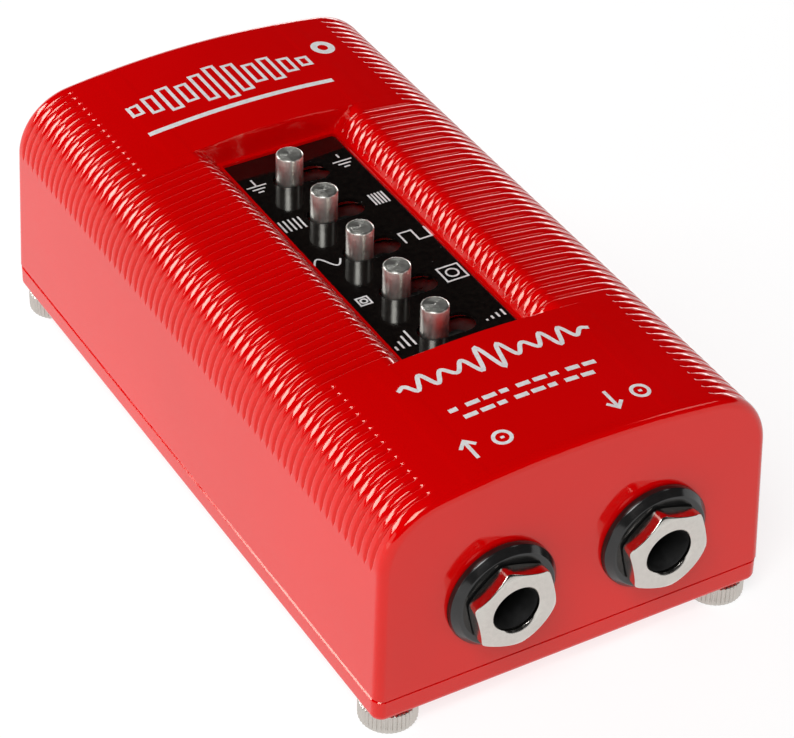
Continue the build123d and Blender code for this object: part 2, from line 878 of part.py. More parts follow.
def make_battery_snap():
    """Strip with two snap contacts that grip the battery's terminals."""
    x = battery_left + battery_length + terminal_height + board_gap
    middle = seam + battery_gap + battery_height / 2
    with BuildPart() as snap:
        with BuildSketch(Plane(origin=(x, case_y, middle), x_dir=(0, 1, 0), z_dir=(1, 0, 0))):
            RectangleRounded(snap_width, snap_height, snap_rounding)
        extrude(amount=snap_thickness)
    return snap


def make_battery_leads():
    """Two insulated leads from the snap strip up to the board."""
    x = battery_left + battery_length + terminal_height + board_gap + snap_thickness / 2
    start_z = seam + battery_gap + (battery_height + snap_height) / 2
    with BuildPart() as leads:
        with BuildSketch(Plane.XY.offset(start_z)):
            with Locations((x, case_y - battery_lead_y), (x, case_y + battery_lead_y)):
                Circle(battery_lead_radius)
        extrude(amount=board_underside - start_z)
    return leads


os.makedirs("parts", exist_ok=True)

keep(make_housing(), "housing")
keep(make_bottom_plate(), "bottom_plate")
keep(make_overlay(), "control_panel_overlay")
for corner, (foot_x, foot_y) in zip(corner_names, boss_places):
    keep(make_thumbscrew(foot_x, foot_y), f"thumbscrew_{corner}")
    keep(make_retainer(foot_x, foot_y), f"screw_retainer_{corner}")
for number, place in enumerate(switch_places, start=1):
    keep(make_switch_frame(place), f"switch_frame_{number}")
    keep(make_switch_slider(place), f"switch_slider_{number}")
    keep(make_switch_post(place), f"switch_post_{number}")
for name, place in jack_places.items():
    keep(make_jack_body(place), f"jack_body_{name}")
    keep(make_jack_contacts(place), f"jack_contacts_{name}")
    keep(make_jack_ring(place), f"jack_ring_{name}")
    keep(make_jack_nut(place), f"jack_nut_{name}")
keep(make_board(), "main_board")
keep(make_board_screws(), "board_screws")
keep(make_op_amp_chips(), "op_amp_chips")
keep(make_electrolytic_capacitors(), "electrolytic_capacitors")
keep(make_film_capacitors(), "film_capacitors")
keep(make_xlr_body(), "xlr_body")
keep(make_xlr_pins(), "xlr_pins")
keep(make_xlr_screws(), "xlr_screws")
keep(make_dc_body(), "dc_jack_body")
keep(make_dc_pin(), "dc_jack_pin")
keep(make_battery(), "battery")
keep(make_battery_snap(), "battery_snap")
keep(make_battery_leads(), "battery_leads")
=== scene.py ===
from math import atan2, cos, pi, radians, sin, sqrt, tan

import bmesh
import bpy
import numpy as np
from mathutils import Matrix, Vector
from mathutils.bvhtree import BVHTree


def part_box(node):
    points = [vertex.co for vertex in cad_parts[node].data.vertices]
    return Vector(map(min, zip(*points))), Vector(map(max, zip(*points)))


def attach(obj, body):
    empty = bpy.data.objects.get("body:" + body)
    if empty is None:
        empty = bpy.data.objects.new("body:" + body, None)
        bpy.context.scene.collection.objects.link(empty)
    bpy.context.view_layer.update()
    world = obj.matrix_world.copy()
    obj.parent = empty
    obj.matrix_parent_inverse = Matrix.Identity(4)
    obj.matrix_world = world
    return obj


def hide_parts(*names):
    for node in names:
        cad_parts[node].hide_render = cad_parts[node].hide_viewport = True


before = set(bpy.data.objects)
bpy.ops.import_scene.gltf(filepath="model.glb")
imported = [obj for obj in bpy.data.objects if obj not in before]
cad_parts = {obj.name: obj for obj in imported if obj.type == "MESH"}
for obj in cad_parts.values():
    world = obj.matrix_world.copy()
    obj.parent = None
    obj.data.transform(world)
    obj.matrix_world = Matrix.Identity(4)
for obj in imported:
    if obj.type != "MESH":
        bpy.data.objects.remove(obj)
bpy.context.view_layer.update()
MM = 0.001


# ---------------------------------------------------------------- places read from the frame, in mm
def box_mm(node):
    low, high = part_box(node)
    return Vector(low) / MM, Vector(high) / MM


def centre_mm(node):
    return sum(box_mm(node), Vector()) / 2


plate_low, plate_high = box_mm("bottom_plate")
overlay_low, overlay_high = box_mm("control_panel_overlay")
shell_low, shell_high = box_mm("housing")
case_width = plate_high.x - plate_low.x
case_length = plate_high.y - plate_low.y
case_y = (plate_low.y + plate_high.y) / 2
seam = shell_low.z
apex = shell_high.z
overlay_top = overlay_high.z
overlay_floor = overlay_low.z
front_y = plate_low.y
rear_y = plate_high.y

# Shell, the sizes of its CAD solid, apart from steeper and rounder sides on the window
shell_height = apex - seam
crown_drop = 2.9
shoulder_radius = 9.5
side_lean = tan(radians(1.8))
end_lean = tan(radians(1.75))
corner_radius = 1.3
wall = 2.5
ledge_z = shell_height - 3.6
window_half_width = 9.3
window_half_length = 26.9
window_slope = 0.6
window_end_slope = 0.14
window_side_rounding = 3.6
window_end_rounding = 0.35
seat_half_width = 8.85
seat_half_length = 26.25
seam_chamfer = 0.25

# Ribs on the shoulders and on the window's sides
rib_pitch = 1.574
rib_reach = 32
rib_depth = 0.36
groove_share = 0.25
ridge_crown = 0.07
window_rib_reach = 16
rib_low_z = 19.3

# Openings and the hardware behind them
corners = ("front_left", "rear_left", "front_right", "rear_right")
jacks = ("input", "thru")
switch_numbers = range(1, 6)
switch_places = [centre_mm(f"switch_post_{number}") for number in switch_numbers]
slot_length = 8.4
slot_width = 4.2
jack_hole_radius = 4.6
ring_seat = 0.45
ink_lift = 0.02
ring_seat_radius = 7.8
xlr_hole_radius = 9.5
dc_hole_radius = 4.0
xlr_screw_hole_radius = 1.3
pillar_radius = 2.6
pillar_reach = 20.5
boss_radius = 3.7
boss_height = 13
clip_bore_radius = 2.9
clip_bore_height = 6.6
thread_bore_radius = 1.5
thread_bore_height = 12.2
shank_hole_radius = 1.55


# ---------------------------------------------------------------- mesh helpers
def mesh_piece(name, verts, faces, origin=(0, 0, 0)):
    """A mesh object from points in mm, with its own origin at a point in mm."""
    mesh = bpy.data.meshes.new(name)
    shifted = (np.asarray(verts, float) - np.asarray(origin, float)) * MM
    mesh.from_pydata(shifted.tolist(), [], [list(map(int, f)) for f in faces])
    mesh.validate()
    piece = bpy.data.objects.new(name, mesh)
    piece.location = Vector(origin) * MM
    bpy.context.scene.collection.objects.link(piece)
    return piece


def tidy_normals(piece):
    work = bmesh.new()
    work.from_mesh(piece.data)
    bmesh.ops.remove_doubles(work, verts=work.verts, dist=1e-7)
    bmesh.ops.recalc_face_normals(work, faces=work.faces)
    work.to_mesh(piece.data)
    work.free()


def shade(piece, angle, weighted=True):
    """Smooth shading, with edges sharper than angle kept crisp."""
    work = bmesh.new()
    work.from_mesh(piece.data)
    for face in work.faces:
        face.smooth = True
    for edge in work.edges:
        if len(edge.link_faces) == 2:
            edge.smooth = edge.calc_face_angle(0.0) < radians(angle)
    work.to_mesh(piece.data)
    work.free()
    if weighted:
        modifier = piece.modifiers.new("normals", "WEIGHTED_NORMAL")
        modifier.keep_sharp = True
        modifier.weight = 80
    return piece


def boolean(piece, cutter, operation):
    """Applies one boolean and deletes the cutter."""
    modifier = piece.modifiers.new("cut", "BOOLEAN")
    modifier.operation = operation
    modifier.solver = "EXACT"
    modifier.object = cutter
    bpy.context.view_layer.update()
    evaluated = piece.evaluated_get(bpy.context.evaluated_depsgraph_get())
    result = bpy.data.meshes.new_from_object(evaluated)
    piece.modifiers.remove(modifier)
    piece.data = result
    bpy.data.objects.remove(cutter)
    return piece


def rings_mesh(rings, closed=True):
    """Points and faces of a tube through rings of equal length, with flat ends if it is closed."""
    count = len(rings[0])
    verts = [p for ring in rings for p in ring]
    faces = []
    for i in range(len(rings) - 1):
        for j in range(count):
            k = (j + 1) % count
            faces.append((i * count + j, i * count + k, (i + 1) * count + k, (i + 1) * count + j))
    if closed:
        faces.append(tuple(reversed(range(count))))
        faces.append(tuple((len(rings) - 1) * count + j for j in range(count)))
    return verts, faces


def lathe(name, profile, centre, segments):
    """Upright turned piece: profile is (radius, height) in mm, first and last at an end."""
    cx, cy, cz = centre
    rings = []
    for radius, height in profile:
        ring = []
        for j in range(segments):
            a = 2 * pi * j / segments
            ring.append((cx + radius * cos(a), cy + radius * sin(a), cz + height))
        rings.append(ring)
    verts, faces = rings_mesh(rings)
    piece = mesh_piece(name, verts, faces, origin=centre)
    tidy_normals(piece)
    return piece


def prism(name, outline, plane, low, high):
    """Straight block over an outline: plane is xy (low and high are z) or xz (they are y)."""
    if plane == "xy":
        rings = [[(u, v, h) for u, v in outline] for h in (low, high)]
    else:
        rings = [[(u, h, v) for u, v in outline] for h in (low, high)]
    verts, faces = rings_mesh(rings)
    piece = mesh_piece(name, verts, faces)
    tidy_normals(piece)
    return piece


def circle(cx, cy, radius, count=64):
    angles = [2 * pi * i / count for i in range(count)]
    return [(cx + radius * cos(a), cy + radius * sin(a)) for a in angles]


def slot_outline(cx, cy, length, width, count=16):
    """Round-ended slot along x."""
    half = length / 2 - width / 2
    right = [(-pi / 2 + pi * i / count) for i in range(count + 1)]
    points = [(cx + half + width / 2 * cos(a), cy + width / 2 * sin(a)) for a in right]
    points += [(cx - half - width / 2 * cos(a), cy - width / 2 * sin(a)) for a in right]
    return points


def rounded_rectangle(half_x, half_y, radius, cx, cy, count=8):
    points = []
    for sx, sy, start in ((1, 1, 0), (-1, 1, 90), (-1, -1, 180), (1, -1, 270)):
        for i in range(count + 1):
            a = radians(start + 90 * i / count)
            px = cx + sx * (half_x - radius) + radius * cos(a)
            py = cy + sy * (half_y - radius) + radius * sin(a)
            points.append((px, py))
    return points


def join(name, pieces):
    """One mesh out of several, which are deleted."""
    work = bmesh.new()
    for piece in pieces:
        piece.data.transform(piece.matrix_basis)
        work.from_mesh(piece.data)
        bpy.data.objects.remove(piece)
    mesh = bpy.data.meshes.new(name)
    work.to_mesh(mesh)
    work.free()
    joined = bpy.data.objects.new(name, mesh)
    bpy.context.scene.collection.objects.link(joined)
    return joined


def smooth_min(a, b, k):
    h = np.maximum(k - np.abs(a - b), 0) / k
    return np.minimum(a, b) - h * h * k / 4


def smooth_max(a, b, k):
    return -smooth_min(-a, -b, k)


# ---------------------------------------------------------------- the shell
def section_geometry(inset):
    """Centre and radius of the crown and of the shoulder, in the section's own plane."""
    half = case_width / 2 - inset
    crown = shell_height - inset
    corner_z = crown - crown_drop
    corner_x = half - corner_z * side_lean
    big = (corner_x**2 + crown_drop**2) / (2 * crown_drop)
    small = shoulder_radius - inset
    lean = atan2(side_lean, 1)
    # The shoulder's centre is small inside the side line and big - small from the crown's centre
    low, high = 0.0, crown
    for _ in range(60):
        cz = (low + high) / 2
        cx = half - (small + cz * sin(lean)) / cos(lean)
        if cx**2 + (cz - crown + big) ** 2 < (big - small) ** 2:
            low = cz
        else:
            high = cz
    return half, crown, big, small, lean, cx, cz


def section_path(side_z, shoulder_steps, crown_x, inset=0.0):
    """Half a section from the seam up: points (x, z) and outward normals."""
    half, crown, big, small, lean, cx, cz = section_geometry(inset)
    points, normals = [], []
    top_of_side = cz + small * sin(lean)
    for z in side_z:
        if z < top_of_side - 0.05:
            points.append((half - z * side_lean, z))
            normals.append((cos(lean), sin(lean)))
    end = atan2(cz - (crown - big), cx)
    for i in range(shoulder_steps + 1):
        a = lean + (end - lean) * i / shoulder_steps
        points.append((cx + small * cos(a), cz + small * sin(a)))
        normals.append((cos(a), sin(a)))
    last_x = points[-1][0]
    for x in crown_x:
        if x < last_x - 0.05:
            z = crown - big + sqrt(big**2 - x**2)
            points.append((x, z))
            normals.append((x / big, (z - crown + big) / big))
    return np.array(points), np.array(normals)


def rib_rows():
    """Rows along the case, measured from its middle: dense over every groove."""
    phases = [-0.5, -0.38, 0.0, 0.38]
    phases += [side * groove_share * n / 5 for n in range(1, 6) for side in (-1, 1)]
    rows = [(k + p) * rib_pitch for k in range(-rib_reach, rib_reach + 1) for p in phases]
    rows += [(rib_reach + 0.5) * rib_pitch]
    half_length = case_length / 2
    for side in (-1, 1):
        rows += [side * y for y in np.arange(26.82, 27.9, 0.08)]
        rows += [side * y for y in (seat_half_length - 0.02, seat_half_length + 0.02)]
        rows += [side * y for y in np.linspace(51.4, half_length - corner_radius, 3)]
    rows = np.unique(np.round(rows, 4))
    keep = [rows[0]]
    for y in rows[1:]:
        if y - keep[-1] > 0.03:
            keep.append(y)
    return np.array(keep)


def groove(rows):
    """Depth share of the grooves along the case, 0 on a ridge and 1 in a groove."""
    phase = np.abs(rows / rib_pitch - np.round(rows / rib_pitch))
    crown = ridge_crown * (0.5 + 0.5 * np.cos(2 * pi * phase))
    sides = np.clip(1 - phase / groove_share, 0, 1) ** 1.5
    return sides * (1 - ridge_crown) + crown


def rise(values, low, high):
    t = np.clip((values - low) / (high - low), 0, 1)
    return t * t * (3 - 2 * t)


def shell_skin():
    """The outer skin with its ribs, window and rounded ends, closed below."""
    side_z = [0.0, seam_chamfer, 4, 10, 16, 18.4] + list(np.arange(18.8, 21, 0.22))
    crown_x = list(np.arange(20.1, 15, -0.4)) + list(np.arange(15, 11.4, -0.14))
    crown_x += list(np.arange(11.4, 9.9, -0.22)) + list(np.arange(9.9, 9.05, -0.1))
    crown_x += [seat_half_width + 0.02, seat_half_width - 0.02] + list(np.arange(8, 0.5, -1.0)) + [0.0]
    points, normals = section_path(side_z, 40, crown_x)
    left = points[:-1][::-1] * (-1, 1)
    left_normals = normals[:-1][::-1] * (-1, 1)
    path = np.vstack([points, left])
    outward = np.vstack([normals, left_normals])
    rows = rib_rows()
    x, z = path[:, 0][None, :], path[:, 1][None, :]
    nx, nz = outward[:, 0][None, :], outward[:, 1][None, :]
    y = rows[:, None] + 0 * x
    side = np.abs(x)
    # Where the grooves run: down to the foot of the shoulder, in to the plateaus or the window
    plateau = np.abs(rows)[:, None] > (window_rib_reach + 0.5) * rib_pitch
    low_end = rise(z, rib_low_z, rib_low_z + 1.3)
    plateau_end = rise(side, 20.15, 20.75)
    window_end = rise(side, window_half_width + 0.1, window_half_width + 0.7)
    reach = low_end * np.where(plateau, plateau_end, window_end)
    inside = (np.abs(rows)[:, None] <= (rib_reach + 0.5) * rib_pitch).astype(float)
    depth = rib_depth * np.maximum(groove(rows)[:, None] - (1 - reach), 0) * inside
    # The recessed window
    far = np.abs(y)
    slope = ledge_z + (side - window_half_width) / window_slope
    end = ledge_z + (far - window_half_length) / window_end_slope
    side_wall = smooth_min(z, slope, window_side_rounding)
    end_wall = smooth_min(z, end, window_end_rounding)
    pocket = smooth_max(side_wall, end_wall, 0.12)
    pocket = smooth_max(pocket, ledge_z + 0 * pocket, 0.1)
    top = np.where((side < 16) & (z > 22), pocket, z)
    seat = (side < seat_half_width) & (far < seat_half_length)
    top = np.where(seat, overlay_floor - seam, top)
    on_slope = rise(z - top, 0.0, 0.4)
    px = x - nx * depth * (1 - on_slope)
    pz = top - np.where(on_slope > 0, depth * (nz * (1 - on_slope) + 1.25 * on_slope), nz * depth)
    # A small chamfer at the seam
    px = np.where(z < 0.01, np.sign(x) * (side - seam_chamfer), px)
    sheets = [np.stack([px, y, pz], axis=2)]
    # Rounded ends
    for sign in (-1, 1):
        bulge = []
        for a in np.linspace(0, pi / 2, 8)[1:]:
            inset = corner_radius * (1 - cos(a))
            ey = sign * (case_length / 2 - corner_radius + corner_radius * sin(a))
            ex = np.where(z < 0.01, np.sign(x) * (side - seam_chamfer), x) - nx * inset
            ez = np.where(z < 0.01, 0, z - nz * inset)
            bulge.append(np.stack([ex[0], ey + 0 * ex[0], ez[0]], axis=1))
        bulge = np.array(bulge)
        if sign < 0:
            sheets.insert(0, bulge[::-1])
        else:
            sheets.append(bulge)
    grid = np.concatenate(sheets, axis=0)
    blend = rise(np.abs(grid[:, :, 1]), 50.9, 52.2)
    grid[:, :, 1] -= np.sign(grid[:, :, 1]) * blend * grid[:, :, 2] * end_lean
    grid[:, :, 1] += case_y
    grid[:, :, 2] += seam
    row_count, column_count, _ = grid.shape
    index = np.arange(row_count * column_count).reshape(row_count, column_count)
    quads = np.stack([index[:-1, :-1], index[:-1, 1:], index[1:, 1:], index[1:, :-1]], axis=2)
    faces = quads.reshape(-1, 4).tolist()
    faces.append(index[0, :].tolist())
    faces.append(index[-1, ::-1].tolist())
    faces.append(index[:, 0].tolist() + index[::-1, -1].tolist())
    piece = mesh_piece("housing_shell", grid.reshape(-1, 3), faces)
    tidy_normals(piece)
    return piece


def shell_room():
    """The room inside the shell, shaped round the window floor, bosses and pillars, as one solid to cut
    away.
    """
    points, _ = section_path([-1.0, 5, 15], 12, list(np.arange(18, 0.5, -3.0)) + [0.0], wall)
    path = np.vstack([points, points[:-1][::-1] * (-1, 1)])
    half_length = case_length / 2 - wall
    rings = []
    for sign in (-1, 1):
        rings.append([(px, case_y + sign * (half_length - pz * end_lean), seam + pz) for px, pz in path])
    verts, faces = rings_mesh(rings)
    room = mesh_piece("room", verts, faces)
    tidy_normals(room)
    floor_underside = overlay_floor - 1.7
    block = rounded_rectangle(window_half_width + 4.6, window_half_length + 2.2, 0.5, 0, case_y)
    boolean(room, prism("block", block, "xy", floor_underside, apex + 5), "DIFFERENCE")
    boss_steps = (
        ("boss", boss_radius, 48, boss_height, "DIFFERENCE"),
        ("bore", clip_bore_radius, 48, clip_bore_height, "UNION"),
        ("thread", thread_bore_radius, 40, thread_bore_height, "UNION"),
    )
    for bx, by in boss_places():
        for label, radius, count, height, operation in boss_steps:
            outline = circle(bx, by, radius, count)
            boolean(room, prism(label, outline, "xy", seam - 3, seam + height), operation)
    pillar_low = box_mm("main_board")[1].z
    for px in (-pillar_reach, pillar_reach):
        for py in (-pillar_reach, pillar_reach):
            outline = circle(px, case_y + py, pillar_radius, 40)
            boolean(room, prism("pillar", outline, "xy", pillar_low, apex + 5), "DIFFERENCE")
    return room


def boss_places():
    centres = [centre_mm(f"thumbscrew_{corner}") for corner in corners]
    return [(c.x, c.y) for c in centres]


def jack_places():
    centres = [centre_mm(f"jack_ring_{jack}") for jack in jacks]
    return [(c.x, c.z) for c in centres]


def shell_holes():
    """Cutters for everything that passes through the shell."""
    cutters = []
    for place in switch_places:
        outline = slot_outline(0, place.y, slot_length + 5, slot_width + 3.4)
        cutters.append(prism("slot", outline, "xy", overlay_floor - 3, overlay_floor + 1))
    for jx, jz in jack_places():
        seat = circle(jx, jz, ring_seat_radius, 96)
        cutters.append(prism("seat", seat, "xz", front_y - 1, front_y + ring_seat))
        cutters.append(prism("jack", circle(jx, jz, jack_hole_radius), "xz", front_y - 2, front_y + 5))
    xlr_x, xlr_z = centre_mm("xlr_body").x, seam + 13.0
    outlines = [circle(xlr_x, xlr_z, xlr_hole_radius, 96)]
    outlines.append(circle(centre_mm("dc_jack_body").x, seam + 11.0, dc_hole_radius))
    for side in (-1, 1):
        outlines.append(circle(xlr_x + side * 10.4, xlr_z + side * 7.6, xlr_screw_hole_radius, 40))
    for outline in outlines:
        cutters.append(prism("rear_hole", outline, "xz", rear_y - 5, rear_y + 2))
    return cutters


def make_housing():
    shell = shell_skin()
    room = shell_room()
    for cutter in shell_holes():
        boolean(room, cutter, "UNION")
    boolean(shell, room, "DIFFERENCE")
    shade(shell, 38)
    return shell


# ---------------------------------------------------------------- plate, panel and hardware
def make_plate():
    """Flat plate with a rounded lower edge and the low ribs that centre it."""
    edge = 1.1
    lip_width, lip_gap = 1.6, 0.3
    half_x, half_y = case_width / 2, case_length / 2
    bottom = plate_low.z
    stack = [(seam_chamfer, seam), (0.0, seam - seam_chamfer)]
    stack += [(edge * (1 - cos(a)), bottom + edge * (1 - sin(a))) for a in np.linspace(0, pi / 2, 8)]
    rings = []
    for inset, z in stack:
        outline = rounded_rectangle(half_x - inset, half_y - inset, max(1.6 - inset, 0.35), 0, case_y, 10)
        rings.append([(x, y, z) for x, y in outline])
    verts, faces = rings_mesh(rings)
    plate = mesh_piece("base_plate", verts, faces)
    tidy_normals(plate)
    half_lip = lip_width / 2
    lip_x = half_x - wall - lip_gap - half_lip
    lip_y = half_y - wall - lip_gap - half_lip
    bars = []
    for side in (-1, 1):
        for part in (-1, 1):
            bars.append((side * lip_x, part * 28.9, half_lip, 14.9))
        bars.append((0, side * lip_y, 19.3, half_lip))
    for cx, cy, hx, hy in bars:
        outline = rounded_rectangle(hx, hy, 0.3, cx, case_y + cy, 4)
        boolean(plate, prism("lip", outline, "xy", seam - 1, seam + 0.8), "UNION")
    for bx, by in boss_places():
        outline = circle(bx, by, shank_hole_radius, 40)
        boolean(plate, prism("hole", outline, "xy", bottom - 2, seam + 2), "DIFFERENCE")
    shade(plate, 38)
    return plate


def make_panel():
    """Thin glossy panel with softened edges and five slots."""
    half_x = (overlay_high.x - overlay_low.x) / 2
    half_y = (overlay_high.y - overlay_low.y) / 2
    rings = []
    levels = [(0.0, overlay_floor), (0.0, overlay_top - 0.08)]
    levels += [(0.03, overlay_top - 0.02), (0.09, overlay_top)]
    for inset, z in levels:
        outline = rounded_rectangle(half_x - inset, half_y - inset, 0.4, 0, case_y, 6)
        rings.append([(x, y, z) for x, y in outline])
    verts, faces = rings_mesh(rings)
    panel = mesh_piece("control_panel", verts, faces)
    tidy_normals(panel)
    for place in switch_places:
        outline = slot_outline(0, place.y, slot_length, slot_width, 24)
        boolean(panel, prism("slot", outline, "xy", overlay_floor - 1, overlay_top + 1), "DIFFERENCE")
    shade(panel, 30)
    return panel


def make_post(number):
    """Turned post: chamfered rim, fine turning rings and centre mark on top."""
    low, high = box_mm(f"switch_post_{number}")
    centre = centre_mm(f"switch_post_{number}")
    radius = (high.x - low.x) / 2
    height = high.z - low.z
    neck, socket = 1.11, 3.1
    profile = [(0.05, socket), (neck, socket), (neck, 0.02), (neck, 0.0)]
    profile += [(radius - 0.1, 0.0), (radius, 0.1), (radius, height - 0.27)]
    profile += [(radius - 0.05, height - 0.15), (radius - 0.22, height - 0.02), (radius - 0.3, height)]
    for step in range(11):
        r = 1.5 * (1 - step / 11)  # fine turning rings across the top
        profile += [(r + 0.03, height), (r, height - 0.012)]
    profile += [(0.12, height), (0.08, height - 0.03), (0.02, height - 0.04)]
    post = lathe(f"post_{number}", profile, (centre.x, centre.y, low.z), 72)
    shade(post, 25, weighted=False)
    return post


def open_lathe(name, profile, centre, segments):
    """A turned ring on the y axis: the profile is a closed loop of (radius, height)."""
    cx, cy, cz = centre
    count = len(profile)
    verts = []
    for j in range(segments):
        a = 2 * pi * j / segments
        for radius, height in profile:
            verts.append((cx + radius * cos(a), cy - height, cz + radius * sin(a)))
    faces = []
    for j in range(segments):
        for i in range(count):
            k, m = (i + 1) % count, (j + 1) % segments
            faces.append((j * count + i, j * count + k, m * count + k, m * count + i))
    piece = mesh_piece(name, verts, faces, origin=centre)
    tidy_normals(piece)
    return piece


def make_washer(name):
    low, high = box_mm(f"jack_ring_{name}")
    outer = (high.x - low.x) / 2
    depth = high.y - low.y
    loop = [(4.55, 0.05), (4.6, 0.0), (outer - 0.1, 0.0), (outer, 0.1), (outer, depth - 1.05)]
    loop += [(outer - 0.03, depth - 0.93), (outer - 0.13, depth - 0.83), (outer - 0.72, depth - 0.12)]
    loop += [(outer - 0.82, depth - 0.03), (outer - 0.95, depth), (6.0, depth), (5.85, depth - 0.05)]
    loop += [(4.7, depth - 0.05), (4.55, depth - 0.15)]
    centre = ((low.x + high.x) / 2, high.y, (low.z + high.z) / 2)
    ring = open_lathe(f"ring_{name}", loop, centre, 128)
    shade(ring, 50)
    return ring


def make_nut(name):
    """Hexagonal nut: conical chamfers on both faces, and a softened mouth."""
    low, high = box_mm(f"jack_nut_{name}")
    flat = 5.5
    thickness = high.y - low.y
    centre = ((low.x + high.x) / 2, high.y, (low.z + high.z) / 2)
    turn = radians(12)
    per_side = 14
    angles = []
    for side in range(6):
        for i in range(per_side):
            angles.append(side * pi / 3 + (pi / 3) * i / per_side)
    corner_cut = 6.22

    def hexagon(a):
        local = (a + pi / 6) % (pi / 3) - pi / 6
        return min(flat / cos(local), corner_cut)

    def ring(radii, height):
        return [
            (centre[0] + r * cos(a + turn), centre[1] - height(r), centre[2] + r * sin(a + turn))
            for r, a in zip(radii, angles)
        ]

    def front(r):
        return thickness - 0.55 * max(r - 5.25, 0.0) ** 1.15

    def back(r):
        return 0.35 * max(r - 5.5, 0.0)

    full = [hexagon(a) for a in angles]
    bore, sleeve = 3.3, 4.47
    rings = [ring([sleeve] * len(angles), lambda r: thickness - 0.8)]
    rings.append(ring([sleeve] * len(angles), lambda r: 0.0))
    rings.append(ring([5.3] * len(angles), lambda r: 0.0))
    rings.append(ring([r - 0.04 for r in full], back))
    rings.append(ring(full, lambda r: back(r) + 0.06))
    rings.append(ring(full, lambda r: front(r) - 0.08))
    rings.append(ring([r - 0.02 for r in full], lambda r: front(r) - 0.03))
    rings.append(ring([r - 0.07 for r in full], front))
    for share in (0.8, 0.6, 0.4, 0.2):
        rings.append(ring([5.1 + (r - 0.07 - 5.1) * share for r in full], front))
    rings.append(ring([5.0] * len(angles), front))
    rings.append(ring([bore + 0.42] * len(angles), front))
    rings.append(ring([bore + 0.36] * len(angles), lambda r: front(r) - 0.02))
    rings.append(ring([bore + 0.06] * len(angles), lambda r: front(r) - 0.26))
    rings.append(ring([bore] * len(angles), lambda r: front(r) - 0.34))
    rings.append(ring([bore] * len(angles), lambda r: thickness - 0.8))
    verts, faces = rings_mesh(rings, closed=False)
    count, last = len(angles), len(rings) - 1
    for j in range(count):
        k = (j + 1) % count
        faces.append((j, last * count + j, last * count + k, k))
    nut = mesh_piece(f"nut_{name}", verts, faces, origin=centre)
    tidy_normals(nut)
    shade(nut, 32)
    return nut


def make_thumbscrew(corner):
    """Straight-knurled head with chamfered rims, necked shank and thread."""
    top = box_mm(f"thumbscrew_{corner}")[1].z
    cx, cy, _ = centre_mm(f"thumbscrew_{corner}")
    knurls, steps = 40, 8
    knurl_depth, shank_radius, neck_radius, thread_root, thread_pitch = 0.2, 1.44, 1.1, 1.3, 0.5
    radius, head = 3.9, plate_low.z
    count = knurls * steps
    rings = []
    stack = [(-3.3, 0.06, 0), (-0.75, 0.06, 0), (-0.68, 0.0, 0)]
    stack += [(-0.42, 0.0, 0), (-0.12, 0.16, 0.3), (0.0, 0.34, 1)]
    stack += [(0.0, 1.2, 1), (0.0, head - 0.45, 1), (-0.10, head - 0.14, 0.4), (-0.30, head - 0.01, 0)]
    stack += [(-2.45, head - 0.01, 0)]
    for inset, z, knurl in stack:
        ring = []
        for j in range(count):
            tooth = abs(2 * (j / steps % 1) - 1)
            r = radius + inset - knurl * knurl_depth * min(tooth * 1.5, 1.0) ** 1.2
            a = 2 * pi * j / count
            ring.append((cx + r * cos(a), cy + r * sin(a), z))
        rings.append(ring)
    verts, faces = rings_mesh(rings)
    head_piece = mesh_piece("head", verts, faces)
    neck_low = seam + clip_bore_height - 1.0
    profile = [(0.2, head - 0.4), (shank_radius, head - 0.4), (shank_radius, neck_low)]
    profile += [(neck_radius, neck_low), (neck_radius, neck_low + 1.0)]
    z = neck_low + 1.05
    while z < top - 0.5:
        profile += [(shank_radius, z), (shank_radius, z + 0.08)]
        profile += [(thread_root, z + 0.25), (thread_root, z + 0.3)]
        z += thread_pitch
    profile += [(1.2, top - 0.15), (1.0, top), (0.2, top)]
    shank = lathe("shank", profile, (cx, cy, 0), 36)
    screw = join(f"knurled_screw_{corner}", [head_piece, shank])
    origin = Vector((cx, cy, 0)) * MM
    screw.data.transform(Matrix.Translation(-origin))
    screw.location = origin
    tidy_normals(screw)
    shade(screw, 40)
    return screw


# ---------------------------------------------------------------- printed marks
def ribbon(points, width, height, closed):
    """A printed line seen from above: (x, y) points in mm, laid at height(x, y)."""
    pts = []
    path = [Vector(p) for p in points] + ([Vector(points[0])] if closed else [])
    for a, b in zip(path[:-1], path[1:]):
        count = max(1, int((b - a).length / 0.8))
        pts += [a.lerp(b, i / count) for i in range(count)]
    if not closed:
        pts.append(path[-1])
    total = len(pts)
    left, right = [], []
    for i, p in enumerate(pts):
        before = pts[i - 1] if (i > 0 or closed) else p
        after = pts[(i + 1) % total] if (i < total - 1 or closed) else p
        d1 = (p - before).normalized() if (p - before).length > 1e-9 else (after - p).normalized()
        d2 = (after - p).normalized() if (after - p).length > 1e-9 else d1
        n1, n2 = Vector((-d1.y, d1.x)), Vector((-d2.y, d2.x))
        bisector = (n1 + n2).normalized()
        reach = width / 2 / max(bisector.dot(n1), 0.5)
        left.append(p + bisector * reach)
        right.append(p - bisector * reach)
    verts, faces = [], []
    for l, r in zip(left, right):
        for q, lift in ((l, ink_lift), (r, ink_lift), (r, -ink_lift), (l, -ink_lift)):
            verts.append((q.x, q.y, height(q.x, q.y) + lift))
    last = total if closed else total - 1
    for i in range(last):
        a, b = 4 * i, 4 * ((i + 1) % total)
        for j in range(4):
            k = (j + 1) % 4
            faces.append((a + j, a + k, b + k, b + j))
    if not closed:
        faces.append((0, 3, 2, 1))
        end = 4 * (total - 1)
        faces.append((end, end + 1, end + 2, end + 3))
    return verts, faces


